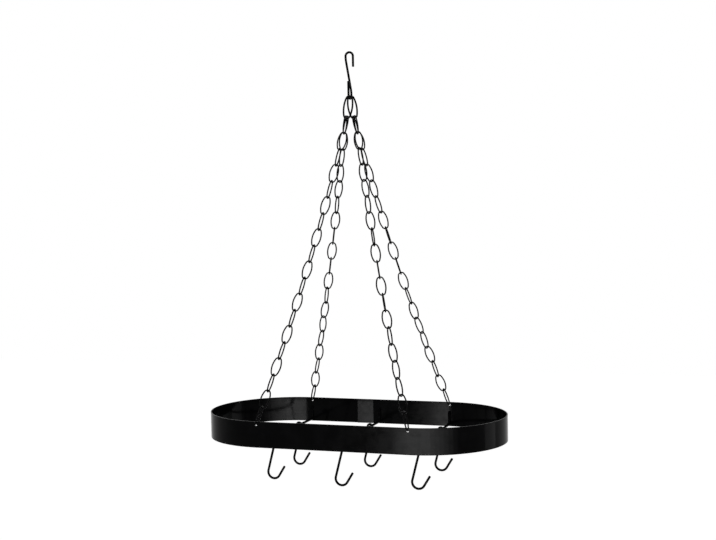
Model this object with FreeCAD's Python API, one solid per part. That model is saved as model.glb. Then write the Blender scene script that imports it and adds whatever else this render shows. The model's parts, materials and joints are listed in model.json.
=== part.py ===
"""Hanging pot rack: an oval steel band on four chains, with three crossbars and six loose pot hooks.

Units are millimetres and degrees. +Z is up, X runs along the band and Y across it. The origin is the
point inside the top bow of the ceiling hook where the rack hangs from whatever holds it, so everything
else lies below it and each level is worked out from the one above.
"""

import FreeCAD, Part
import math
import os

Vector = FreeCAD.Vector
ACROSS = Vector(0, 1, 0)
ALONG = Vector(1, 0, 0)
UP = Vector(0, 0, 1)

# ---- Band: a flat strip on edge, bent into an oval with straight sides and half-round ends
band_length = 600.0
band_depth = 300.0
band_height = 50.0
band_wall = 2.0

# ---- Chain holes, one beside each corner of the band
chain_hole_diameter = 5.0
chain_hole_below_edge = 5.5
chain_hole_seat_gap = 1.0

# ---- Crossbars: round rods with both ends turned up and welded to the inside of the band
bar_diameter = 5.0
bar_above_bottom = 2.0
bar_bend_radius = 7.0
bar_end_height = 26.0
weld_root_gap = 0.1

# ---- Pot hooks: a small bow over the bar, a leaning shank, a round cradle and a flared arm
hook_wire = 4.6
hook_bow_clearance = 0.4
hook_bow_sweep = 215.0
hook_shank_length = 66.3
hook_cradle_radius = 12.5
hook_arm_length = 21.5
hook_arm_flare = 17.0
hook_places = {
    "front_left": (-1, -67.0),
    "front_middle": (0, -92.0),
    "front_right": (1, -85.0),
    "back_left": (-1, 70.0),
    "back_middle": (0, 83.0),
    "back_right": (1, 80.0),
}

# ---- Ceiling hook: an S whose lower bow is turned a quarter turn from its upper one
ceiling_wire = 4.4
ceiling_hook_height = 94.0
ceiling_upper_radius = 7.5
ceiling_lower_radius = 8.5
ceiling_upper_tip_drop = 20.0
ceiling_lower_tip_rise = 24.0

# ---- Top links: the two larger links that hang side by side in the lower bow
top_link_length = 47.0
top_link_width = 21.0
top_link_wire = 3.5
top_link_end_radius = 6.5
top_link_lean = 10.0
top_link_side_gap = 0.5
top_link_seat_gap = 0.75

# ---- Leg chains: four equal lengths of oval link chain
links_per_leg = 19
link_length = 38.5
link_width = 20.0
link_wire = 2.8
link_end_radius = 6.25
link_gap = 0.4
link_seat_gap = 1.2
legs_side_gap = 0.9
leg_sag = 10.0
corners = ("front_left", "back_left", "front_right", "back_right")
leg_twist = {"front_left": 0.0, "back_left": 70.0, "front_right": 70.0, "back_right": 70.0}
leg_twist_end = {"front_left": 19, "back_left": 17, "front_right": 20, "back_right": 18}

# ---- Flats that stand in for round wire, all of the same area as the round section
link_sides = 6
link_end_steps = 3
link_side_steps = 2
top_link_sides = 8
top_link_end_steps = 5
top_link_side_steps = 3
bar_sides = 8
bar_bend_steps = 2
hook_sides = 12
hook_bow_steps = 7
hook_cradle_steps = 6
ceiling_bow_steps = 7
tip_length = 0.6
tip_share = 0.65
hole_arc = 3.0

# ---- What follows from the sizes above
straight_length = band_length - band_depth
outer_bar_x = straight_length / 2
mid_wall_y = (band_depth - band_wall) / 2
inner_wall_y = band_depth / 2 - band_wall
hook_bow_radius = bar_diameter / 2 + hook_bow_clearance + hook_wire / 2

ceiling_top_z = ceiling_wire / 2
ceiling_upper_centre = Vector(0, 0, ceiling_top_z - ceiling_upper_radius)
ceiling_bottom_z = ceiling_top_z - (ceiling_hook_height - ceiling_wire)
ceiling_lower_centre = Vector(0, 0, ceiling_bottom_z + ceiling_lower_radius)

top_link_half_length = (top_link_length - top_link_wire) / 2
top_link_half_width = (top_link_width - top_link_wire) / 2
top_link_y = (top_link_wire + top_link_side_gap) / 2

link_half_length = (link_length - link_wire) / 2
link_half_width = (link_width - link_wire) / 2
link_overlap = link_wire + link_gap
link_pitch = 2 * link_half_length - link_overlap
top_overlap = (top_link_wire + link_wire) / 2 + link_seat_gap


def unit(vector):
    """The vector's direction at length one."""
    return vector / vector.Length


def square_to(vector, direction):
    """The part of a vector that is square to a direction, at length one."""
    return unit(vector - direction * vector.dot(direction))


def turned(vector, axis, degrees):
    """The vector turned about an axis through the origin."""
    return FreeCAD.Rotation(axis, degrees).multVec(vector)


# ---------------------------------------------------------------- bent wire


def bend_corners(centre, radius, start, end, steps, flat=ALONG, rise=UP):
    """Corners of the straight runs that touch a round bend, from one angle to another."""
    step = math.radians(end - start) / steps
    reach = radius / math.cos(step / 2)
    angles = [math.radians(start) + step * (i + 0.5) for i in range(steps)]
    return [centre + flat * (reach * math.cos(a)) + rise * (reach * math.sin(a)) for a in angles]


def oval_corners(centre, half_length, half_width, end_radius, end_steps, side_steps, axis, side):
    """Corners of a closed path whose runs touch an oval of four arcs, with a flat run at each end."""
    reach = half_length - end_radius
    side_radius = (reach**2 + half_width**2 - end_radius**2) / (2 * (half_width - end_radius))
    offset = side_radius - half_width
    meet = math.degrees(math.atan2(offset, reach))
    path = []
    for start, way in ((0, 1), (180, -1)):
        end_centre = centre + axis * (reach * way)
        side_centre = centre - side * (offset * way)
        path += bend_corners(
            end_centre, end_radius, start - meet, start + meet, end_steps, axis, side
        )
        path += bend_corners(
            side_centre, side_radius, start + meet, start + 180 - meet, side_steps, axis, side
        )
    return path


def corner_reach(diameter, sides):
    """Distance from the middle of a many-sided section to its corners, at the round section's area."""
    return diameter / 2 * math.sqrt(2 * math.pi / (sides * math.sin(2 * math.pi / sides)))


def flat_reach(diameter, sides):
    """Distance from the middle of such a section to its flats."""
    return corner_reach(diameter, sides) * math.cos(math.pi / sides)


def section_corners(centre, direction, diameter, sides, flat_towards):
    """Corners of a many-sided wire section, with one flat facing a given way."""
    reach = corner_reach(diameter, sides)
    out = square_to(flat_towards, direction)
    side = direction.cross(out)
    angles = [math.pi / sides * (2 * k + 1) for k in range(sides)]
    return [centre + out * (reach * math.cos(a)) + side * (reach * math.sin(a)) for a in angles]


def slid(ring, direction, point, normal):
    """Section corners moved along a run of wire until they lie in the plane of the next mitre."""
    return [c + direction * ((point - c).dot(normal) / direction.dot(normal)) for c in ring]


def skin(rings, closed):
    """A solid whose flat faces join each ring of corners to the next."""
    sides = len(rings[0])
    following = rings[1:] + rings[:1] if closed else rings[1:]
    faces = []
    for ring, after in zip(rings, following):
        for k in range(sides):
            nxt = (k + 1) % sides
            outline = [ring[k], ring[nxt], after[nxt], after[k], ring[k]]
            faces.append(Part.Face(Part.makePolygon(outline)))
    if not closed:
        for ring in (rings[0], rings[-1]):
            faces.append(Part.Face(Part.makePolygon(ring + ring[:1])))
    solid = Part.Solid(Part.Shell(faces))
    if solid.Volume < 0:
        solid.reverse()
    return solid


def bent_wire(path, diameter, sides, flat_towards):
    """An open length of wire along a path of straight runs, mitred at each corner, with eased tips."""
    ways = [unit(b - a) for a, b in zip(path, path[1:])]
    ring = section_corners(path[0], ways[0], diameter, sides, flat_towards)
    rings = [ring]
    for i in range(1, len(path)):
        last = i == len(path) - 1
        normal = ways[i - 1] if last else unit(ways[i - 1] + ways[i])
        ring = slid(ring, ways[i - 1], path[i], normal)
        rings.append(ring)
    first_tip = eased_tip(rings[0], path[0], -ways[0])
    last_tip = eased_tip(rings[-1], path[-1], ways[-1])
    return skin([first_tip] + rings + [last_tip], closed=False)


def eased_tip(ring, centre, outwards):
    """A smaller ring just past the end of a wire, so that its tip has a rounded-off edge."""
    return [centre + (corner - centre) * tip_share + outwards * tip_length for corner in ring]


def wire_ring(path, diameter, sides):
    """A closed ring of wire along a flat path, with a flat of the section facing the middle."""
    count = len(path)
    ways = [unit(path[(i + 1) % count] - path[i]) for i in range(count)]
    normals = [unit(ways[i - 1] + ways[i]) for i in range(count)]
    middle = sum(path, Vector()) / count
    start = (path[0] + path[1]) / 2
    ring = section_corners(start, ways[0], diameter, sides, middle - start)
    rings = []
    for i in range(count):
        ring = slid(ring, ways[i - 1] if i else ways[0], path[i], normals[i])
        rings.append(ring)
    return skin(rings, closed=True)


# ---------------------------------------------------------------- ceiling hook and top links


def ceiling_hook():
    """The S hook: upper bow in the X-Z plane, lower bow in the Y-Z plane, one leaning shank between."""
    upper_tip = ceiling_upper_centre + ALONG * ceiling_upper_radius - UP * ceiling_upper_tip_drop
    upper = bend_corners(ceiling_upper_centre, ceiling_upper_radius, 0, 180, ceiling_bow_steps)
    lower = bend_corners(
        ceiling_lower_centre, ceiling_lower_radius, 0, -180, ceiling_bow_steps, flat=ACROSS
    )
    lower_tip = ceiling_lower_centre - ACROSS * ceiling_lower_radius + UP * ceiling_lower_tip_rise
    path = [upper_tip] + upper + lower + [lower_tip]
    return bent_wire(path, ceiling_wire, hook_sides, ALONG)


def top_link_frame(side):
    """Centre, downward axis and sideways direction of the top link on one side, -1 left or 1 right."""
    axis = turned(-UP, ACROSS, -side * top_link_lean)
    sideways = axis.cross(ACROSS)
    seat_drop = ceiling_lower_radius - math.sqrt(ceiling_lower_radius**2 - top_link_y**2)
    wire_z = ceiling_bottom_z + seat_drop + (ceiling_wire + top_link_wire) / 2 + top_link_seat_gap
    top_wire = Vector(0, side * top_link_y, wire_z)
    return top_wire + axis * top_link_half_length, axis, sideways


def top_link(side):
    """One of the two larger links."""
    centre, axis, sideways = top_link_frame(side)
    path = oval_corners(
        centre,
        top_link_half_length,
        top_link_half_width,
        top_link_end_radius,
        top_link_end_steps,
        top_link_side_steps,
        axis,
        sideways,
    )
    return wire_ring(path, top_link_wire, top_link_sides)


def leg_seat(corner):
    """Middle of the top link's wire where one leg hangs. The front leg sits to the right of the back one."""
    centre, axis, sideways = top_link_frame(-1 if "left" in corner else 1)
    towards_right = sideways if sideways.x > 0 else -sideways
    offset = (link_wire + legs_side_gap) / 2 * (1 if "front" in corner else -1)
    reach = top_link_half_length - top_link_end_radius
    along = reach + math.sqrt(top_link_end_radius**2 - offset**2)
    return centre + towards_right * offset + axis * along


# ---------------------------------------------------------------- leg chains


def leg_hole(corner, level):
    """Middle of the last link's wire in the band's hole, with the band's bottom edge at a level."""
    side = -1 if "left" in corner else 1
    face = -1 if "front" in corner else 1
    hole_z = level + band_height - chain_hole_below_edge
    wire_z = hole_z + (chain_hole_diameter - link_wire) / 2 - chain_hole_seat_gap
    return Vector(side * outer_bar_x, face * mid_wall_y, wire_z)


def leg_drop(corner):
    """How far below its seat on the top link a leg's chain lets its hole hang."""
    run = links_per_leg * link_pitch
    chord = run - 8 * leg_sag**2 / (3 * run)
    span = chord - (top_overlap - link_overlap)
    outwards = leg_hole(corner, 0) - leg_seat(corner)
    return math.sqrt(span**2 - outwards.x**2 - outwards.y**2)


def band_level():
    """Height of the band's bottom edge when it hangs level on the four legs."""
    levels = [leg_seat(c).z - leg_drop(c) - leg_hole(c, 0).z for c in corners]
    return sum(levels) / len(levels)


def leg_stations(corner):
    """Points along a leg, one at each crossing of two links, on a shallow arc that hangs inwards."""
    seat = leg_seat(corner)
    hole = leg_hole(corner, band_level())
    straight = unit(hole - seat)
    sag_way = square_to(-UP, straight)
    lean = math.degrees(math.atan(4 * leg_sag / (hole - seat).Length))
    hinge = straight.cross(sag_way)
    first_way = turned(straight, hinge, lean)
    last_way = turned(straight, hinge, -lean)
    start = seat - first_way * (top_overlap - link_overlap / 2)
    end = hole - last_way * (link_overlap / 2)
    chord = (end - start).Length
    radius = (chord**2 / 4 + leg_sag**2) / (2 * leg_sag)
    half_angle = math.asin(chord / 2 / radius)
    way = unit(end - start)
    sag_way = square_to(-UP, way)
    middle = (start + end) / 2 - sag_way * (radius - leg_sag)
    angles = [half_angle * (2 * k / links_per_leg - 1) for k in range(links_per_leg + 1)]
    return [middle + way * (radius * math.sin(a)) + sag_way * (radius * math.cos(a)) for a in angles]


def link_twist(corner, number):
    """How far a link has turned about its leg. A leg twists gently from its first link and back again."""
    end = leg_twist_end[corner]
    if number >= min(end, links_per_leg):
        return 0.0
    return leg_twist[corner] * math.sin(math.pi * (number - 1) / (end - 1)) ** 2


def leg_link(corner, stations, number):
    """One link of a leg. Odd links stand edge-on to the front and even ones face it."""
    above, below = stations[number - 1], stations[number]
    axis = unit(below - above)
    side = square_to(ACROSS, axis)
    if number % 2 == 0:
        side = axis.cross(side)
    side = turned(side, axis, link_twist(corner, number))
    path = oval_corners(
        (above + below) / 2,
        link_half_length,
        link_half_width,
        link_end_radius,
        link_end_steps,
        link_side_steps,
        axis,
        side,
    )
    return wire_ring(path, link_wire, link_sides)


def leg_nodes(corner):
    """The leg's nodes: its first link, three runs of free links, and the link through the band."""
    stations = leg_stations(corner)
    free = list(range(2, links_per_leg))
    third = math.ceil(len(free) / 3)
    runs = {
        "first_link": [1],
        "chain_upper": free[:third],
        "chain_middle": free[third : 2 * third],
        "chain_lower": free[2 * third :],
        "band_link": [links_per_leg],
    }
    return {
        corner + "_" + name: Part.makeCompound([leg_link(corner, stations, n) for n in numbers])
        for name, numbers in runs.items()
    }


# ---------------------------------------------------------------- band, crossbars and pot hooks


def oval_prism(length, depth, level, height):
    """A solid with straight sides and half-round ends, each end bent in three stretches."""
    radius = depth / 2
    reach = length / 2 - radius

    def on_end(side, angle):
        turn = math.radians(angle)
        return Vector(side * reach + radius * math.cos(turn), radius * math.sin(turn), level)

    edges = []
    for side, start in ((1, -90), (-1, 90)):
        stops = (start, start + hole_arc, start + 180 - hole_arc, start + 180)
        for first, last in zip(stops, stops[1:]):
            middle = on_end(side, (first + last) / 2)
            edges.append(Part.Arc(on_end(side, first), middle, on_end(side, last)).toShape())
        straight = Part.LineSegment(on_end(side, start + 180), on_end(-side, start + 180))
        edges.append(straight.toShape())
    return Part.Face(Part.Wire(edges)).extrude(UP * height)


def band():
    """The oval band with its four chain holes."""
    level = band_level()
    outer = oval_prism(band_length, band_depth, level, band_height)
    inner = oval_prism(band_length - 2 * band_wall, band_depth - 2 * band_wall, level, band_height)
    shell = outer.cut(inner)
    hole_z = level + band_height - chain_hole_below_edge
    for x in (-outer_bar_x, outer_bar_x):
        start = Vector(x, -band_depth / 2 - band_wall, hole_z)
        drill = Part.makeCylinder(chain_hole_diameter / 2, band_depth + 2 * band_wall, start, ACROSS)
        shell = shell.cut(drill)
    return shell


def bar_axis(place):
    """Middle of a crossbar, for place -1 left, 0 middle or 1 right."""
    return Vector(place * outer_bar_x, 0, band_level() + bar_above_bottom + bar_diameter / 2)


def crossbar(place):
    """A rod across the band with both ends turned up against its inner wall."""
    axis = bar_axis(place)
    reach = inner_wall_y - weld_root_gap - flat_reach(bar_diameter, bar_sides)
    path = []
    for face in (-1, 1):
        outwards = ACROSS * face
        bend_centre = axis + outwards * (reach - bar_bend_radius) + UP * bar_bend_radius
        bend = bend_corners(bend_centre, bar_bend_radius, 0, -90, bar_bend_steps, outwards)
        end = axis + outwards * reach + UP * bar_end_height
        path += [end] + bend if face < 0 else bend[::-1] + [end]
    return bent_wire(path, bar_diameter, bar_sides, ACROSS)


def pot_hook():
    """A loose hook on a bar through the origin, turned until its weight hangs straight below the bar."""
    bow = bend_corners(Vector(), hook_bow_radius, hook_bow_sweep, 0, hook_bow_steps)
    sweep = math.radians(hook_bow_sweep)
    bow_tip = Vector(math.cos(sweep), 0, math.sin(sweep)) * hook_bow_radius
    centre = Vector(hook_bow_radius + hook_cradle_radius, 0, -hook_shank_length)
    cradle = bend_corners(centre, hook_cradle_radius, 180, 360 - hook_arm_flare, hook_cradle_steps)
    flare = math.radians(hook_arm_flare)
    arm_start = centre + Vector(math.cos(flare), 0, -math.sin(flare)) * hook_cradle_radius
    arm_tip = arm_start + Vector(math.sin(flare), 0, math.cos(flare)) * hook_arm_length
    hook = bent_wire([bow_tip] + bow + cradle + [arm_tip], hook_wire, hook_sides, ALONG)
    weight = hook.CenterOfMass
    hook.rotate(Vector(), ACROSS, math.degrees(math.atan2(weight.x, -weight.z)))
    return hook


# ---------------------------------------------------------------- the whole rack


def all_nodes():
    """Every node of the rack by name."""
    nodes = {
        "ceiling_hook": ceiling_hook(),
        "top_link_left": top_link(-1),
        "top_link_right": top_link(1),
        "band": band(),
        "crossbar_left": crossbar(-1),
        "crossbar_middle": crossbar(0),
        "crossbar_right": crossbar(1),
    }
    for corner in corners:
        nodes.update(leg_nodes(corner))
    hook = pot_hook()
    for name, (place, y) in hook_places.items():
        nodes["pot_hook_" + name] = hook.translated(bar_axis(place) + ACROSS * y)
    return nodes


def main():
    os.makedirs("parts", exist_ok=True)
    for name, shape in all_nodes().items():
        shape.exportStep("parts/" + name + ".step")


if __name__ == "__main__":
    main()
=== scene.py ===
"""Looks of the hanging pot rack: bent wire, oval chain links, a rolled oval band and black paint."""

import json
import math

import bmesh
import bpy
import numpy as np
from mathutils import Matrix, Quaternion, Vector

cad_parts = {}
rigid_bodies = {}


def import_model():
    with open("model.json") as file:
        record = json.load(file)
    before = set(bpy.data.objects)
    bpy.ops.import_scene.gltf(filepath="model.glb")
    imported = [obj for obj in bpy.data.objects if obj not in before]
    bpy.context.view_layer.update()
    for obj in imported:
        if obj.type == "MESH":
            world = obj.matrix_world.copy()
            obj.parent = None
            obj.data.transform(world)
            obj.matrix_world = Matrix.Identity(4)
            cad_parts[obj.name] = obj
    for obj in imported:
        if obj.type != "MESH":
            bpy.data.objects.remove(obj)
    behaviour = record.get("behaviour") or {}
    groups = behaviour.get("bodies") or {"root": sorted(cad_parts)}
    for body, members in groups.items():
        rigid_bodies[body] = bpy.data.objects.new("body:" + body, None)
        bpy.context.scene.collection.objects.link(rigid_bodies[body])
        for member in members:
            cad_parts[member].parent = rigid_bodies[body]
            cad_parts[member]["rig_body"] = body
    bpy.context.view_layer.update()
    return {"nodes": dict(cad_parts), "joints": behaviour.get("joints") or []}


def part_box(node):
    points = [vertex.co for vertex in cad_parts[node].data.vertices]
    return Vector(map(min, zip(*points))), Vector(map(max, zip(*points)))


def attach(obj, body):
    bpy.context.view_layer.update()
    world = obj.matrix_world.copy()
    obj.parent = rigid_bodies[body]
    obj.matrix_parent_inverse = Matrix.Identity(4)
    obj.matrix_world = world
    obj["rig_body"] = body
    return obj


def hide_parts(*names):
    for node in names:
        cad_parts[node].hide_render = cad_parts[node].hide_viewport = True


bl_info = {
    "name": "Hanging Pot Rack",
    "version": (1, 0, 0),
    "blender": (4, 5, 0),
    "location": "3D View > Sidebar > Pot Rack",
    "description": "Dresses the hanging pot rack: hooks, chains, crossbars, band and studio",
    "category": "Add Mesh",
}

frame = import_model()
joint_places = {joint["name"]: Vector(joint["pos_m"]) for joint in frame["joints"]}
body_of_node = {name: node["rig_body"] for name, node in frame["nodes"].items()}

CORNERS = ("front_left", "front_right", "back_left", "back_right")
CHAIN_RUNS = ("first_link", "chain_upper", "chain_middle", "chain_lower", "band_link")
BAR_PLACES = ("left", "middle", "right")
RIGHT = Vector((1, 0, 0))
BACK = Vector((0, 1, 0))
UP = Vector((0, 0, 1))
MM = 0.001

WIRE_SIDES = 20
BAND_END_STEPS = 80
HOLE_SIDES = 32
WIRE_TIP_ROUNDING = 0.9 * MM
ROD_TIP_ROUNDING = 1.2 * MM
LINK_JOINT_HALF = 0.25 * MM
LINK_JOINT_NARROWING = 0.87
LAP_GROOVE = 0.3 * MM
FLAT_MARGIN = 0.6 * MM
MERGE_DISTANCE = 0.002 * MM
SHARP_ABOVE = math.radians(40)

# Beads of a crossbar's weld: their number, where they run in shares of the upright end, and their
# places and shape in shares of their thickness
WELD_BEADS = 9
WELD_START = 0.12
WELD_LENGTH = 0.75
BEAD_UNEVENNESS = 0.14
BEAD_ASIDE = 0.95
BEAD_INWARD = 0.3
BEAD_DEPTH = 0.62
BEAD_HEIGHT = 0.72

# Panels that the band mirrors, each with its place, width, height and watts
BAND_PANELS = {
    "front_panel": ((0.07, -2.75, -1.255), 1.56, 0.3, 30.0),
    "rim_panel": ((2.59, 1.0, -1.21), 1.06, 0.3, 2.2),
}
# Panels that light the whole rack, likewise
RACK_PANELS = {
    "key_panel": ((-1.4, -2.2, 1.1), 0.9, 0.9, 10.0),
    "top_panel": ((0.2, 0.4, 1.6), 1.2, 1.2, 16.0),
}
# Smaller panels in an arc to the right of the front one, each weaker than the one before, with
# the arc's start and step in degrees
SIDE_PANELS = 6
SIDE_PANEL_MIDDLE = Vector((0.18, -0.1, -1.25))
SIDE_PANEL_REACH = 2.7
SIDE_PANEL_START = 17.5
SIDE_PANEL_STEP = 7.0
SIDE_PANEL_WIDTH = 0.34
SIDE_PANEL_HEIGHT = 0.3
SIDE_PANEL_POWER = 5.2
SIDE_PANEL_FALL = 0.95
# What the panels face
RACK_HEART = Vector((0, 0, -0.5))
BAND_HEART = Vector((0, 0, -0.73))


# ---------------------------------------------------------------- sizes and colours


def size(name, description, millimetres, least=0.1):
    """A length property of the rack, stated in millimetres."""
    return bpy.props.FloatProperty(
        name=name,
        description=description,
        default=millimetres * MM,
        min=least * MM,
        precision=4,
        subtype="DISTANCE",
        unit="LENGTH",
    )


def turn(name, description, degrees):
    """An angle property of the rack, stated in degrees."""
    return bpy.props.FloatProperty(
        name=name,
        description=description,
        default=math.radians(degrees),
        subtype="ANGLE",
        unit="ROTATION",
    )


def share(name, description, value):
    """A property between none and all."""
    return bpy.props.FloatProperty(
        name=name, description=description, default=value, min=0.0, max=1.0, subtype="FACTOR"
    )


class PotHookSizes(bpy.types.PropertyGroup):
    """Sizes of the loose pot hooks."""

    wire: size("Wire", "Thickness of the hook's wire", 4.6)
    bow_radius: size("Bow radius", "From the bar's middle to the middle of the wire over it", 5.2)
    bow_sweep: turn("Bow sweep", "How far the wire is bent round over the bar", 215.0)
    shank: size("Shank", "Straight length between the bow and the cradle", 66.3)
    cradle_radius: size("Cradle radius", "Bend of the cradle at the middle of the wire", 12.5)
    flare: turn("Arm flare", "How far the arm leans away from the shank", 17.0)
    arm: size("Arm", "Straight length from the cradle to the tip", 21.5)
    lean: turn("Lean", "How the hook settles under its own weight", 14.89)


class CeilingHookSizes(bpy.types.PropertyGroup):
    """Sizes of the hook that the rack hangs from."""

    wire: size("Wire", "Thickness of the hook's wire", 4.4)
    upper_radius: size("Upper radius", "Bend of the upper bow at the middle of the wire", 7.5)
    lower_radius: size("Lower radius", "Bend of the lower bow at the middle of the wire", 8.5)
    height: size("Height", "Overall height of the hook", 94.0)
    upper_tip: size("Upper tip", "Straight length at the upper bow's open side", 20.0)
    lower_tip: size("Lower tip", "Straight length at the lower bow's open side", 24.0)
    shank_bend: size("Shank bend", "Bend where the shank leaves each bow", 60.0)


class TopLinkSizes(bpy.types.PropertyGroup):
    """Sizes of the two larger links at the top."""

    length: size("Length", "Outer length of the link", 47.0)
    width: size("Width", "Outer width of the link", 21.0)
    wire: size("Wire", "Thickness of the link's wire", 3.5)
    end_radius: size("End radius", "Bend of the link's ends at the middle of the wire", 6.5)


class LinkSizes(bpy.types.PropertyGroup):
    """Sizes of the chain's links."""

    length: size("Length", "Outer length of the link", 38.5)
    width: size("Width", "Outer width of the link", 20.0)
    wire: size("Wire", "Thickness of the link's wire", 2.8)
    end_radius: size("End radius", "Bend of the link's ends at the middle of the wire", 6.25)


class BandSizes(bpy.types.PropertyGroup):
    """Sizes of the oval band and what is welded and drilled in it."""

    wall: size("Wall", "Thickness of the strip", 2.0)
    edge: size("Edge", "Rounding of the strip's long edges", 0.35)
    hole: size("Hole", "Diameter of the chain holes", 5.0)
    hole_drop: size("Hole drop", "From the band's top edge down to a hole's middle", 5.5)
    lap_place: bpy.props.FloatProperty(
        name="Lap place",
        description="Where along the back the strip's inner end stops",
        default=-48 * MM,
        precision=4,
        subtype="DISTANCE",
        unit="LENGTH",
    )
    lap_length: size("Lap length", "How far the strip's inner end laps over its outer end", 34.0)
    lap_weld: size("Lap weld", "Width of the weld along the inner end", 1.2)
    rod: size("Rod", "Thickness of the crossbars", 5.0)
    rod_bend: size("Rod bend", "Bend of the crossbars at the middle of the rod", 7.0)
    bead: size("Bead", "Thickness of the weld beads that hold the crossbars", 2.4)


class PaintLooks(bpy.types.PropertyGroup):
    """Colour and gloss of the paint."""

    colour: bpy.props.FloatVectorProperty(
        name="Colour",
        description="Colour of the paint",
        default=(0.0008, 0.0008, 0.0009),
        size=3,
        min=0.0,
        max=1.0,
        subtype="COLOR",
    )
    dust: bpy.props.FloatVectorProperty(
        name="Dust",
        description="Colour where fine dust lies on the paint",
        default=(0.0022, 0.0022, 0.0024),
        size=3,
        min=0.0,
        max=1.0,
        subtype="COLOR",
    )
    band_roughness: share("Band roughness", "Roughness of the paint on the band", 0.1)
    band_gloss: share("Band gloss", "How strongly the paint on the band mirrors", 0.019)
    wire_gloss: share("Wire gloss", "How strongly the paint on hooks, bars and chain mirrors", 0.018)
    wire_roughness: share("Wire roughness", "Roughness of the paint on hooks, bars and chain", 0.2)


class StudioLooks(bpy.types.PropertyGroup):
    """Camera and light."""

    lens: bpy.props.FloatProperty(
        name="Lens",
        description="Focal length of the camera",
        default=62.5,
        min=10.0,
        subtype="DISTANCE_CAMERA",
        unit="CAMERA",
    )
    place: bpy.props.FloatVectorProperty(
        name="Camera place",
        description="Where the camera stands",
        default=(0.7987, -2.2964, -0.2869),
        size=3,
        subtype="TRANSLATION",
        unit="LENGTH",
    )
    azimuth: turn("Azimuth", "How far the camera stands round to the right", 18.97)
    elevation: turn("Elevation", "How far the camera looks down", 3.16)
    roll: turn("Roll", "How far the camera is tipped", -1.14)
    floor_drop: bpy.props.FloatProperty(
        name="Floor drop",
        description="Height of the ceiling hook above the floor",
        default=2.75,
        subtype="DISTANCE",
        unit="LENGTH",
    )
    floor_reach: bpy.props.FloatProperty(
        name="Floor reach",
        description="Half the width of the floor",
        default=15.0,
        subtype="DISTANCE",
        unit="LENGTH",
    )
    floor_glow: share("Floor glow", "Brightness added to the floor where it is seen", 0.58)
    room_light: share("Room light", "Brightness of the surround where it only lights", 0.42)
    white: bpy.props.FloatVectorProperty(
        name="White",
        description="Colour of the floor and the background",
        default=(1.0, 1.0, 1.0),
        size=3,
        min=0.0,
        max=1.0,
        subtype="COLOR",
    )


SIZE_GROUPS = {
    "rack_pot_hook": PotHookSizes,
    "rack_ceiling_hook": CeilingHookSizes,
    "rack_top_link": TopLinkSizes,
    "rack_link": LinkSizes,
    "rack_band": BandSizes,
    "rack_paint": PaintLooks,
    "rack_studio": StudioLooks,
}


# ---------------------------------------------------------------- bent wire


def edges_of(parts):
    """The edges among what a bmesh operator made."""
    return [part for part in parts if isinstance(part, bmesh.types.BMEdge)]


def pull_ring(bm, ring, step):
    """Extrudes a ring of edges by a step, and gives the new ring's vertices and edges."""
    made = bmesh.ops.extrude_edge_only(bm, edges=ring)["geom"]
    verts = [part for part in made if isinstance(part, bmesh.types.BMVert)]
    bmesh.ops.translate(bm, verts=verts, vec=step)
    new = set(verts)
    return verts, [edge for edge in edges_of(made) if all(vert in new for vert in edge.verts)]


class BentWire:
    """A round wire that grows from its first tip: straight stretches are extruded and bends are spun."""

    def __init__(self, start, heading, diameter, sides):
        self.bm = bmesh.new()
        self.diameter = diameter
        self.point = start.copy()
        self.heading = heading.normalized()
        placed = Matrix.Translation(start) @ self.heading.to_track_quat("Z", "Y").to_matrix().to_4x4()
        bmesh.ops.create_circle(
            self.bm, cap_ends=False, radius=diameter / 2, segments=sides, matrix=placed
        )
        self.ring = list(self.bm.edges)
        self.first = (self.ring, self.point.copy(), self.heading.copy())

    def straight(self, length):
        """Adds a straight stretch."""
        _, self.ring = pull_ring(self.bm, self.ring, self.heading * length)
        self.point = self.point + self.heading * length

    def bend(self, towards, radius, angle, steps):
        """Bends the wire towards a direction that is square to its heading."""
        centre = self.point + towards.normalized() * radius
        axis = self.heading.cross(towards).normalized()
        spun = bmesh.ops.spin(
            self.bm, geom=self.ring, cent=centre, axis=axis, angle=angle, steps=steps, use_duplicate=False
        )
        self.ring = edges_of(spun["geom_last"])
        swing = Quaternion(axis, angle)
        self.point = centre + swing @ (self.point - centre)
        self.heading = swing @ self.heading

    def tip(self, ring, point, outwards, rounding, steps=4):
        """Closes an end with a rounded-off edge and a small flat."""
        radius = self.diameter / 2
        reach, size_now = 0.0, 1.0
        for step in range(1, steps + 1):
            angle = math.pi / 2 * step / steps
            next_reach = rounding * math.sin(angle)
            next_size = 1 - rounding / radius * (1 - math.cos(angle))
            verts, ring = pull_ring(self.bm, ring, outwards * (next_reach - reach))
            narrowing = next_size / size_now
            space = Matrix.Translation(-(point + outwards * next_reach))
            bmesh.ops.scale(self.bm, verts=verts, vec=(narrowing,) * 3, space=space)
            reach, size_now = next_reach, next_size
        bmesh.ops.edgeloop_fill(self.bm, edges=ring)

    def open_length(self, rounding=WIRE_TIP_ROUNDING):
        """Finishes a wire with two tips."""
        ring, point, heading = self.first
        self.tip(ring, point, -heading, rounding)
        self.tip(self.ring, self.point, self.heading, rounding)
        return self.closed()

    def closed(self):
        """Joins what meets and turns every face outwards."""
        bmesh.ops.remove_doubles(self.bm, verts=self.bm.verts, dist=MERGE_DISTANCE)
        bmesh.ops.recalc_face_normals(self.bm, faces=self.bm.faces)
        return self.bm


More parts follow.
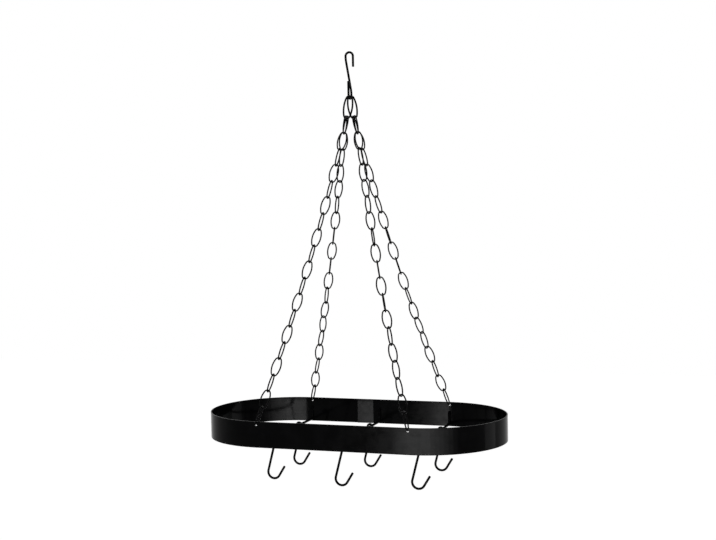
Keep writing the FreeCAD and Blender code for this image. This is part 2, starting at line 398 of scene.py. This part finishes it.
def oval_link(link, sides, end_steps, side_steps):
    """One oval link in the X-Y plane about the origin, long along X, with its wire's butt joint."""
    end_radius = link.end_radius
    half_length = (link.length - link.wire) / 2
    half_width = (link.width - link.wire) / 2
    reach = half_length - end_radius
    side_radius = (reach**2 + half_width**2 - end_radius**2) / (2 * (half_width - end_radius))
    meet = math.atan2(side_radius - half_width, reach)
    side_angle = math.pi - 2 * meet
    joint_angle = LINK_JOINT_HALF / side_radius
    half_side = side_angle / 2 - joint_angle
    wire = BentWire(Vector((0, half_width, 0)), -RIGHT, link.wire, sides)

    def curve(radius, angle, steps):
        inwards = UP.cross(wire.heading)
        wire.bend(inwards, radius, angle, steps)

    curve(side_radius, joint_angle, 1)
    curve(side_radius, half_side, side_steps // 2)
    curve(end_radius, 2 * meet, end_steps)
    curve(side_radius, side_angle, side_steps)
    curve(end_radius, 2 * meet, end_steps)
    curve(side_radius, half_side, side_steps // 2)
    curve(side_radius, joint_angle, 1)
    bm = wire.closed()
    joint = [vert for vert in bm.verts if abs(vert.co.x) < LINK_JOINT_HALF / 10 and vert.co.y > 0]
    space = Matrix.Translation((0, -half_width, 0))
    bmesh.ops.scale(bm, verts=joint, vec=(1, LINK_JOINT_NARROWING, LINK_JOINT_NARROWING), space=space)
    return bm


def places_of_links(node):
    """Where each link of a CAD node is: its middle, with X along it and Y across it."""
    bm = bmesh.new()
    bm.from_mesh(node.data)
    bmesh.ops.remove_doubles(bm, verts=bm.verts, dist=MERGE_DISTANCE / 2)
    waiting = dict.fromkeys(bm.verts)
    places = []
    while waiting:
        island = [waiting.popitem()[0]]
        for vert in island:
            for edge in vert.link_edges:
                other = edge.other_vert(vert)
                if other in waiting:
                    del waiting[other]
                    island.append(other)
        corners = np.array([vert.co for vert in island])
        middle = corners.mean(0)
        _, directions = np.linalg.eigh(np.cov((corners - middle).T))
        along, across = Vector(directions[:, 2]), Vector(directions[:, 1])
        if along.z > 0:
            along.negate()
        rotation = Matrix((along, across, along.cross(across))).transposed().to_4x4()
        places.append(Matrix.Translation(middle) @ rotation)
    bm.free()
    return sorted(places, key=lambda place: -place.translation.z)


# ---------------------------------------------------------------- pieces


def mark_sharp(bm):
    """Keeps the folded edges sharp where the faces beside them are shaded smooth."""
    for edge in bm.edges:
        folded = len(edge.link_faces) == 2 and edge.calc_face_angle(0) > SHARP_ABOVE
        edge.smooth = not folded


def finish_piece(name, bm, node, material):
    """Makes a piece from a bmesh, in place of a CAD node and riding on its body."""
    mark_sharp(bm)
    for face in bm.faces:
        face.smooth = True
    mesh = bpy.data.meshes.new(name)
    bm.to_mesh(mesh)
    bm.free()
    piece = bpy.data.objects.new(name, mesh)
    bpy.context.scene.collection.objects.link(piece)
    mesh.materials.append(material)
    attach(piece, body_of_node[node])
    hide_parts(node)
    return piece


def pot_hook(hook):
    """A pot hook about its bar's axis, as it hangs."""
    sweep = hook.bow_sweep
    out = Vector((math.cos(sweep), 0, math.sin(sweep)))
    over = Vector((math.sin(sweep), 0, -math.cos(sweep)))
    wire = BentWire(out * hook.bow_radius, over, hook.wire, WIRE_SIDES)
    wire.bend(-out, hook.bow_radius, sweep, steps=22)
    wire.straight(hook.shank)
    wire.bend(RIGHT, hook.cradle_radius, math.pi - hook.flare, steps=26)
    wire.straight(hook.arm)
    bm = wire.open_length()
    bmesh.ops.rotate(bm, verts=bm.verts, cent=(0, 0, 0), matrix=Matrix.Rotation(hook.lean, 3, "Y"))
    return bm


def ceiling_hook(hook):
    """The ceiling hook, hung from the origin by its upper bow, with its lower bow a quarter turn on."""
    crest = hook.wire / 2
    upper_z = crest - hook.upper_radius
    lower_z = crest - (hook.height - hook.wire) + hook.lower_radius
    tip = Vector((hook.upper_radius, 0, upper_z - hook.upper_tip))
    wire = BentWire(tip, UP, hook.wire, WIRE_SIDES)
    wire.straight(hook.upper_tip)
    wire.bend(-RIGHT, hook.upper_radius, math.pi, steps=24)
    aside = Vector((hook.upper_radius, hook.lower_radius, 0))
    drop = upper_z - lower_z
    outer_gap = aside.length - 2 * hook.shank_bend
    run = math.sqrt(outer_gap**2 + drop**2 - (2 * hook.shank_bend) ** 2)
    lean = math.atan2(2 * hook.shank_bend, run) + math.atan2(outer_gap, drop)
    wire.bend(aside, hook.shank_bend, lean, steps=8)
    wire.straight(run)
    square_to_run = -UP - wire.heading * wire.heading.dot(-UP)
    wire.bend(square_to_run, hook.shank_bend, lean, steps=8)
    wire.bend(-BACK, hook.lower_radius, math.pi, steps=24)
    wire.straight(hook.lower_tip)
    return wire.open_length()


def crossbar(band, place):
    """A crossbar with its ends turned up, and the weld beads that hold them to the wall."""
    low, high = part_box("crossbar_" + place)
    x = (low.x + high.x) / 2
    start = Vector((x, low.y + band.rod / 2, high.z - ROD_TIP_ROUNDING))
    rise = start.z - low.z - band.rod / 2 - band.rod_bend
    wire = BentWire(start, -UP, band.rod, WIRE_SIDES)
    wire.straight(rise)
    wire.bend(BACK, band.rod_bend, math.pi / 2, steps=10)
    wire.straight(high.y - low.y - band.rod - 2 * band.rod_bend)
    wire.bend(UP, band.rod_bend, math.pi / 2, steps=10)
    wire.straight(rise)
    bm = wire.open_length(ROD_TIP_ROUNDING)
    for face, wall_y in ((-1, low.y), (1, high.y)):
        for side in (-1, 1):
            add_weld(bm, Vector((x, wall_y, start.z)), side, face, rise, band.bead)
    return bm


def add_weld(bm, top, side, face, length, bead):
    """A row of flattened, slightly uneven beads along one side of a crossbar's upright end."""
    for step in range(WELD_BEADS):
        uneven = 1 + BEAD_UNEVENNESS * math.sin(2.4 * step + side + 2 * face)
        drop = length * (WELD_START + WELD_LENGTH * step / (WELD_BEADS - 1))
        middle = top + Vector((side * bead * BEAD_ASIDE, -face * bead * BEAD_INWARD, -drop))
        shape = Matrix.Diagonal((uneven, BEAD_DEPTH, BEAD_HEIGHT * uneven, 1))
        bmesh.ops.create_uvsphere(
            bm,
            u_segments=12,
            v_segments=8,
            radius=bead / 2,
            matrix=Matrix.Translation(middle) @ shape,
        )


def strip_section(bm, band, low, high):
    """The section of the band's strip at the middle of the front, as a ring of edges."""
    height = high.z - low.z
    section = bmesh.ops.create_grid(bm, x_segments=1, y_segments=3, size=0.5)
    bmesh.ops.scale(bm, verts=section["verts"], vec=(band.wall, height, 1))
    for vert in bm.verts:
        if abs(vert.co.y) < height / 4:
            vert.co.y = math.copysign(height / 2 - band.edge - FLAT_MARGIN, vert.co.y)
    bmesh.ops.bevel(
        bm,
        geom=[vert for vert in bm.verts if len(vert.link_edges) == 2],
        affect="VERTICES",
        offset=band.edge,
        offset_type="OFFSET",
        segments=3,
        profile=0.5,
        material=-1,
    )
    upright = Matrix(((0, 0, 1, 0), (1, 0, 0, 0), (0, 1, 0, 0), (0, 0, 0, 1)))
    middle = Vector((0, low.y + band.wall / 2, (low.z + high.z) / 2))
    bmesh.ops.transform(bm, matrix=Matrix.Translation(middle) @ upright, verts=bm.verts)
    inner_edges = [edge for edge in bm.edges if len(edge.link_faces) == 2]
    bmesh.ops.delete(bm, geom=inner_edges, context="EDGES")
    if bm.faces or any(len(vert.link_edges) != 2 for vert in bm.verts):
        raise RuntimeError("the band's section is not one closed ring")
    return list(bm.edges)


def draw_strip(bm, ring, stations):
    """Draws a ring straight along X, from each station to the next."""
    for here, there in zip(stations, stations[1:]):
        _, ring = pull_ring(bm, ring, RIGHT * (there - here))
    return ring


def spin_end(bm, ring, centre_x):
    """Spins a ring half a turn, round one end of the band."""
    spun = bmesh.ops.spin(
        bm,
        geom=ring,
        cent=(centre_x, 0, 0),
        axis=UP,
        angle=math.pi,
        steps=BAND_END_STEPS,
        use_duplicate=False,
    )
    return edges_of(spun["geom_last"])


def lap_ramp(band):
    """How far the lap stands off the wall: up its weld, over the strip's inner end and back down."""
    inner_end = band.lap_place
    weld_foot = inner_end - band.lap_weld
    weld_top = inner_end - 0.1 * band.lap_weld
    return (
        (weld_foot, 0),
        (weld_top, 0.45 * band.wall),
        (inner_end, 0.8 * band.wall),
        (inner_end + band.edge, band.wall),
        (inner_end + band.lap_length, 0),
    )


def lap_groove(band):
    """How deep the wall's outside is cut where the strip's outer end stops."""
    outer_end = band.lap_place + band.lap_length
    return (
        (outer_end - LAP_GROOVE, 0),
        (outer_end, LAP_GROOVE),
        (outer_end + LAP_GROOVE, 0),
    )


def with_margins(places):
    """Places from right to left, with one more a margin beyond each end."""
    ordered = sorted(places, reverse=True)
    return (ordered[0] + FLAT_MARGIN, *ordered, ordered[-1] - FLAT_MARGIN)


def oval_band(band):
    """The band: its strip's section drawn along the straights and spun round the ends, then lapped."""
    low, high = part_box("band")
    end_x = high.x - (high.y - low.y) / 2
    flat_x = end_x - FLAT_MARGIN
    ramp_x, ramp_rise = zip(*lap_ramp(band))
    groove_x, groove_depth = zip(*lap_groove(band))
    lap = (*with_margins(groove_x), *with_margins(ramp_x[:-1]))
    bm = bmesh.new()
    ring = strip_section(bm, band, low, high)
    ring = draw_strip(bm, ring, (0, flat_x, end_x))
    ring = spin_end(bm, ring, end_x)
    ring = draw_strip(bm, ring, (end_x, flat_x, *lap, -flat_x, -end_x))
    ring = spin_end(bm, ring, -end_x)
    draw_strip(bm, ring, (-end_x, -flat_x, 0))
    bmesh.ops.remove_doubles(bm, verts=bm.verts, dist=MERGE_DISTANCE)
    for vert in bm.verts:
        if vert.co.y < high.y - band.wall - FLAT_MARGIN or abs(vert.co.x) > flat_x:
            continue
        if vert.co.y < high.y - band.wall / 2:
            vert.co.y -= np.interp(vert.co.x, ramp_x, ramp_rise)
        else:
            vert.co.y -= np.interp(vert.co.x, groove_x, groove_depth)
    bmesh.ops.recalc_face_normals(bm, faces=bm.faces)
    return bm


def drill_band(piece, band):
    """Cuts the chain holes through both walls."""
    low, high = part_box("band")
    depth = high.y - low.y
    end_x = high.x - depth / 2
    across = Matrix.Rotation(math.pi / 2, 4, "X")
    bm = bmesh.new()
    for x in (-end_x, end_x):
        bmesh.ops.create_cone(
            bm,
            cap_ends=True,
            segments=HOLE_SIDES,
            radius1=band.hole / 2,
            radius2=band.hole / 2,
            depth=1.2 * depth,
            matrix=Matrix.Translation((x, 0, high.z - band.hole_drop)) @ across,
        )
    mesh = bpy.data.meshes.new("drill")
    bm.to_mesh(mesh)
    bm.free()
    drill = bpy.data.objects.new("drill", mesh)
    bpy.context.scene.collection.objects.link(drill)
    cut = piece.modifiers.new("Chain holes", "BOOLEAN")
    cut.operation = "DIFFERENCE"
    cut.solver = "EXACT"
    cut.object = drill
    bpy.context.view_layer.update()
    cut_mesh = bpy.data.meshes.new_from_object(
        piece.evaluated_get(bpy.context.evaluated_depsgraph_get())
    )
    piece.modifiers.clear()
    piece.data = cut_mesh
    bpy.data.objects.remove(drill)
    bm = bmesh.new()
    bm.from_mesh(cut_mesh)
    mark_sharp(bm)
    bm.to_mesh(cut_mesh)
    bm.free()


# ---------------------------------------------------------------- paint


def node_of(tree, kind, **settings):
    """Adds a shader node and sets what is given."""
    node = tree.nodes.new(kind)
    for name, value in settings.items():
        setattr(node, name, value)
    return node


def noise(tree, place, scale, detail, roughness=0.5):
    """A noise pattern on the given coordinates."""
    pattern = node_of(tree, "ShaderNodeTexNoise")
    pattern.inputs["Scale"].default_value = scale
    pattern.inputs["Detail"].default_value = detail
    pattern.inputs["Roughness"].default_value = roughness
    tree.links.new(place, pattern.inputs["Vector"])
    return pattern.outputs["Fac"]


def ranged(tree, value, from_range, to_range):
    """A pattern stretched from one range to another."""
    stretch = node_of(tree, "ShaderNodeMapRange")
    stretch.inputs["From Min"].default_value = from_range[0]
    stretch.inputs["From Max"].default_value = from_range[1]
    stretch.inputs["To Min"].default_value = to_range[0]
    stretch.inputs["To Max"].default_value = to_range[1]
    tree.links.new(value, stretch.inputs["Value"])
    return stretch.outputs["Result"]


def bumped(tree, height, strength, depth, under=None):
    """A pattern as relief, over another relief if there is one."""
    bump = node_of(tree, "ShaderNodeBump")
    bump.inputs["Strength"].default_value = strength
    bump.inputs["Distance"].default_value = depth
    tree.links.new(height, bump.inputs["Height"])
    if under:
        tree.links.new(under, bump.inputs["Normal"])
    return bump.outputs["Normal"]


def mapped(tree, place, scale, location=(0, 0, 0)):
    """Coordinates scaled along the axes and moved."""
    mapping = node_of(tree, "ShaderNodeMapping")
    mapping.inputs["Location"].default_value = location
    mapping.inputs["Scale"].default_value = scale
    tree.links.new(place, mapping.inputs["Vector"])
    return mapping.outputs["Vector"]


def black_paint(name, paint, roughness, gloss, peel_size, peel_depth, wave_depth=0.0, streaks=0.0):
    """Sprayed black paint with orange peel, uneven gloss and a trace of dust.

    Paint on rolled strip also shows the strip's waves and the streaks of its rolling.
    """
    material = bpy.data.materials.get(name)
    if material:
        return material
    material = bpy.data.materials.new(name)
    material.use_nodes = True
    tree = material.node_tree
    shader = tree.nodes["Principled BSDF"]
    place = node_of(tree, "ShaderNodeTexCoord").outputs["Object"]

    colour = node_of(tree, "ShaderNodeMix", data_type="RGBA")
    colour.inputs["A"].default_value = (*paint.colour, 1)
    colour.inputs["B"].default_value = (*paint.dust, 1)
    dust = noise(tree, place, scale=28, detail=6, roughness=0.65)
    tree.links.new(ranged(tree, dust, (0.42, 0.78), (0, 1)), colour.inputs["Factor"])
    tree.links.new(colour.outputs["Result"], shader.inputs["Base Color"])

    sheen = noise(tree, place, scale=75, detail=3)
    uneven = ranged(tree, sheen, (0.3, 0.7), (roughness - 0.04, roughness + 0.05))
    if streaks:
        rolling = noise(tree, mapped(tree, place, (5, 5, 900)), scale=1, detail=4)
        total = node_of(tree, "ShaderNodeMath", operation="ADD")
        tree.links.new(uneven, total.inputs[0])
        tree.links.new(ranged(tree, rolling, (0.35, 0.65), (-streaks, streaks)), total.inputs[1])
        uneven = total.outputs[0]
    tree.links.new(uneven, shader.inputs["Roughness"])

    relief = None
    if wave_depth:
        wave = noise(tree, mapped(tree, place, (1, 1, 0.6), (0.3, 0, 0)), scale=9, detail=1)
        relief = bumped(tree, wave, strength=1.0, depth=wave_depth)
    peel = noise(tree, place, scale=1 / peel_size, detail=2)
    relief = bumped(tree, peel, strength=0.5, depth=peel_depth, under=relief)
    speck = noise(tree, place, scale=5 / peel_size, detail=1)
    relief = bumped(tree, speck, strength=0.25, depth=peel_depth / 4, under=relief)
    tree.links.new(relief, shader.inputs["Normal"])

    shader.inputs["Specular IOR Level"].default_value = gloss
    return material


def band_paint():
    """The band's paint, the smoother of the two."""
    paint = bpy.context.scene.rack_paint
    return black_paint(
        "band_black",
        paint,
        paint.band_roughness,
        paint.band_gloss,
        peel_size=1.6 * MM,
        peel_depth=0.03 * MM,
        wave_depth=0.8 * MM,
        streaks=0.03,
    )


def wire_paint():
    """The paint of hooks, bars and chain."""
    paint = bpy.context.scene.rack_paint
    return black_paint(
        "wire_black",
        paint,
        paint.wire_roughness,
        paint.wire_gloss,
        peel_size=0.9 * MM,
        peel_depth=0.03 * MM,
    )


# ---------------------------------------------------------------- stage


def seen_strength(tree, socket, unseen, seen):
    """Gives a strength one value where it is seen or mirrored, and another where it only lights."""
    rays = node_of(tree, "ShaderNodeLightPath")
    mirrored = node_of(tree, "ShaderNodeMath", operation="MAXIMUM")
    through = node_of(tree, "ShaderNodeMath", operation="MAXIMUM")
    strength = node_of(tree, "ShaderNodeMapRange")
    strength.inputs["To Min"].default_value = unseen
    strength.inputs["To Max"].default_value = seen
    tree.links.new(rays.outputs["Is Camera Ray"], mirrored.inputs[0])
    tree.links.new(rays.outputs["Is Glossy Ray"], mirrored.inputs[1])
    tree.links.new(mirrored.outputs[0], through.inputs[0])
    tree.links.new(rays.outputs["Is Transmission Ray"], through.inputs[1])
    tree.links.new(through.outputs[0], strength.inputs["Value"])
    tree.links.new(strength.outputs["Result"], socket)


def add_floor(scene):
    """Adds the white floor."""
    studio = scene.rack_studio
    bm = bmesh.new()
    bmesh.ops.create_grid(bm, x_segments=1, y_segments=1, size=studio.floor_reach)
    bmesh.ops.translate(bm, verts=bm.verts, vec=(0, 0, -studio.floor_drop))
    mesh = bpy.data.meshes.new("floor")
    bm.to_mesh(mesh)
    bm.free()
    floor = bpy.data.objects.new("floor", mesh)
    scene.collection.objects.link(floor)
    material = bpy.data.materials.new("floor")
    material.use_nodes = True
    shader = material.node_tree.nodes["Principled BSDF"]
    shader.inputs["Base Color"].default_value = (*studio.white, 1)
    shader.inputs["Roughness"].default_value = 0.9
    shader.inputs["Specular IOR Level"].default_value = 0.1
    shader.inputs["Emission Color"].default_value = (*studio.white, 1)
    glow = shader.inputs["Emission Strength"]
    seen_strength(material.node_tree, glow, unseen=0.0, seen=studio.floor_glow)
    mesh.materials.append(material)


def add_surround(scene):
    """Adds the white surround."""
    studio = scene.rack_studio
    world = bpy.data.worlds.new("studio")
    world.use_nodes = True
    scene.world = world
    background = world.node_tree.nodes["Background"]
    background.inputs["Color"].default_value = (*studio.white, 1)
    strength = background.inputs["Strength"]
    seen_strength(world.node_tree, strength, unseen=studio.room_light, seen=1.0)


def add_lamp(name, place, target, width, height, power):
    """Adds a soft panel lamp that faces a point."""
    lamp = bpy.data.lights.new(name, "AREA")
    lamp.shape = "RECTANGLE"
    lamp.size = width
    lamp.size_y = height
    lamp.energy = power
    holder = bpy.data.objects.new(name, lamp)
    bpy.context.scene.collection.objects.link(holder)
    holder.location = place
    holder.rotation_euler = (target - place).to_track_quat("-Z", "Y").to_euler()
    holder.visible_camera = False


def add_panels():
    """Adds the panel lamps: those that the band mirrors, those for the whole rack, and the arc."""
    for name, (place, *panel) in BAND_PANELS.items():
        add_lamp(name, Vector(place), BAND_HEART, *panel)
    for name, (place, *panel) in RACK_PANELS.items():
        add_lamp(name, Vector(place), RACK_HEART, *panel)
    for step in range(SIDE_PANELS):
        angle = math.radians(SIDE_PANEL_START + SIDE_PANEL_STEP * step)
        place = SIDE_PANEL_MIDDLE + Vector((math.sin(angle), -math.cos(angle), 0)) * SIDE_PANEL_REACH
        power = SIDE_PANEL_POWER - SIDE_PANEL_FALL * step
        name = "side_panel_%d" % step
        add_lamp(name, place, BAND_HEART, SIDE_PANEL_WIDTH, SIDE_PANEL_HEIGHT, power)


def add_camera(scene):
    """Adds the camera, turned round the rack, raised and tipped."""
    studio = scene.rack_studio
    camera_data = bpy.data.cameras.new("camera")
    camera_data.lens = studio.lens
    camera_data.sensor_width = 36
    camera_data.clip_start = 0.05
    camera_data.clip_end = 60
    camera = bpy.data.objects.new("camera", camera_data)
    scene.collection.objects.link(camera)
    scene.camera = camera
    turned = Matrix.Rotation(studio.azimuth, 4, "Z")
    raised = Matrix.Rotation(math.pi / 2 - studio.elevation, 4, "X")
    tipped = Matrix.Rotation(studio.roll, 4, "Z")
    camera.matrix_world = Matrix.Translation(studio.place) @ turned @ raised @ tipped


# ---------------------------------------------------------------- operators


class RACK_OT_ceiling_hook(bpy.types.Operator):
    """Adds the hook that the rack hangs from"""

    bl_idname = "rack.ceiling_hook"
    bl_label = "Ceiling Hook"
    bl_options = {"REGISTER", "UNDO"}

    def execute(self, context):
        bm = ceiling_hook(context.scene.rack_ceiling_hook)
        finish_piece("ceiling_hook_wire", bm, "ceiling_hook", wire_paint())
        return {"FINISHED"}


class RACK_OT_top_links(bpy.types.Operator):
    """Adds the two larger links that carry the four legs"""

    bl_idname = "rack.top_links"
    bl_label = "Top Links"
    bl_options = {"REGISTER", "UNDO"}

    def execute(self, context):
        for side in ("left", "right"):
            node = "top_link_" + side
            bm = oval_link(context.scene.rack_top_link, sides=16, end_steps=12, side_steps=10)
            bmesh.ops.transform(bm, matrix=places_of_links(frame["nodes"][node])[0], verts=bm.verts)
            finish_piece(node + "_wire", bm, node, wire_paint())
        return {"FINISHED"}


class RACK_OT_leg_chains(bpy.types.Operator):
    """Adds the four leg chains, link by link"""

    bl_idname = "rack.leg_chains"
    bl_label = "Leg Chains"
    bl_options = {"REGISTER", "UNDO"}

    def execute(self, context):
        single = oval_link(context.scene.rack_link, sides=12, end_steps=9, side_steps=6)
        pattern = bpy.data.meshes.new("link_pattern")
        single.to_mesh(pattern)
        single.free()
        for corner in CORNERS:
            for run in CHAIN_RUNS:
                node = corner + "_" + run
                bm = bmesh.new()
                for count, place in enumerate(places_of_links(frame["nodes"][node])):
                    before = len(bm.verts)
                    bm.from_mesh(pattern)
                    bm.verts.ensure_lookup_table()
                    joint_side = Matrix.Rotation(math.pi * (count % 2), 4, "X")
                    bmesh.ops.transform(bm, matrix=place @ joint_side, verts=bm.verts[before:])
                finish_piece(node + "_wire", bm, node, wire_paint())
        bpy.data.meshes.remove(pattern)
        return {"FINISHED"}


class RACK_OT_band(bpy.types.Operator):
    """Adds the oval band with its lap joint and chain holes"""

    bl_idname = "rack.band"
    bl_label = "Band"
    bl_options = {"REGISTER", "UNDO"}

    def execute(self, context):
        band = context.scene.rack_band
        piece = finish_piece("band_strip", oval_band(band), "band", band_paint())
        drill_band(piece, band)
        return {"FINISHED"}


class RACK_OT_crossbars(bpy.types.Operator):
    """Adds the crossbars with their weld beads"""

    bl_idname = "rack.crossbars"
    bl_label = "Crossbars"
    bl_options = {"REGISTER", "UNDO"}

    def execute(self, context):
        for place in BAR_PLACES:
            node = "crossbar_" + place
            bm = crossbar(context.scene.rack_band, place)
            finish_piece(node + "_rod", bm, node, wire_paint())
        return {"FINISHED"}


class RACK_OT_pot_hooks(bpy.types.Operator):
    """Adds the loose pot hooks over the crossbars"""

    bl_idname = "rack.pot_hooks"
    bl_label = "Pot Hooks"
    bl_options = {"REGISTER", "UNDO"}

    def execute(self, context):
        for node in sorted(frame["nodes"]):
            if node.startswith("pot_hook_"):
                bm = pot_hook(context.scene.rack_pot_hook)
                bmesh.ops.translate(bm, verts=bm.verts, vec=joint_places[node + "_swing"])
                finish_piece(node + "_wire", bm, node, wire_paint())
        return {"FINISHED"}


class RACK_OT_stage(bpy.types.Operator):
    """Adds the floor, the light and the camera"""

    bl_idname = "rack.stage"
    bl_label = "Stage"
    bl_options = {"REGISTER", "UNDO"}

    def execute(self, context):
        scene = context.scene
        scene.view_settings.view_transform = "Standard"
        add_floor(scene)
        add_surround(scene)
        add_panels()
        add_camera(scene)
        return {"FINISHED"}


OPERATORS = (
    RACK_OT_ceiling_hook,
    RACK_OT_top_links,
    RACK_OT_leg_chains,
    RACK_OT_band,
    RACK_OT_crossbars,
    RACK_OT_pot_hooks,
    RACK_OT_stage,
)


class RACK_PT_panel(bpy.types.Panel):
    """Lists the rack's pieces in the sidebar"""

    bl_idname = "RACK_PT_panel"
    bl_label = "Hanging Pot Rack"
    bl_space_type = "VIEW_3D"
    bl_region_type = "UI"
    bl_category = "Pot Rack"

    def draw(self, context):
        for group in SIZE_GROUPS:
            box = self.layout.box()
            sizes = getattr(context.scene, group)
            for name in sizes.bl_rna.properties.keys():
                if name not in ("rna_type", "name"):
                    box.prop(sizes, name)
        for operator in OPERATORS:
            self.layout.operator(operator.bl_idname)


def register():
    for name, group in SIZE_GROUPS.items():
        bpy.utils.register_class(group)
        setattr(bpy.types.Scene, name, bpy.props.PointerProperty(type=group))
    for operator in OPERATORS:
        bpy.utils.register_class(operator)
    bpy.utils.register_class(RACK_PT_panel)


def unregister():
    bpy.utils.unregister_class(RACK_PT_panel)
    for operator in reversed(OPERATORS):
        bpy.utils.unregister_class(operator)
    for name, group in SIZE_GROUPS.items():
        delattr(bpy.types.Scene, name)
        bpy.utils.unregister_class(group)


def main():
    """Builds every piece and the stage."""
    register()
    bpy.ops.rack.ceiling_hook()
    bpy.ops.rack.top_links()
    bpy.ops.rack.leg_chains()
    bpy.ops.rack.band()
    bpy.ops.rack.crossbars()
    bpy.ops.rack.pot_hooks()
    bpy.ops.rack.stage()


if __name__ == "__main__":
    main()
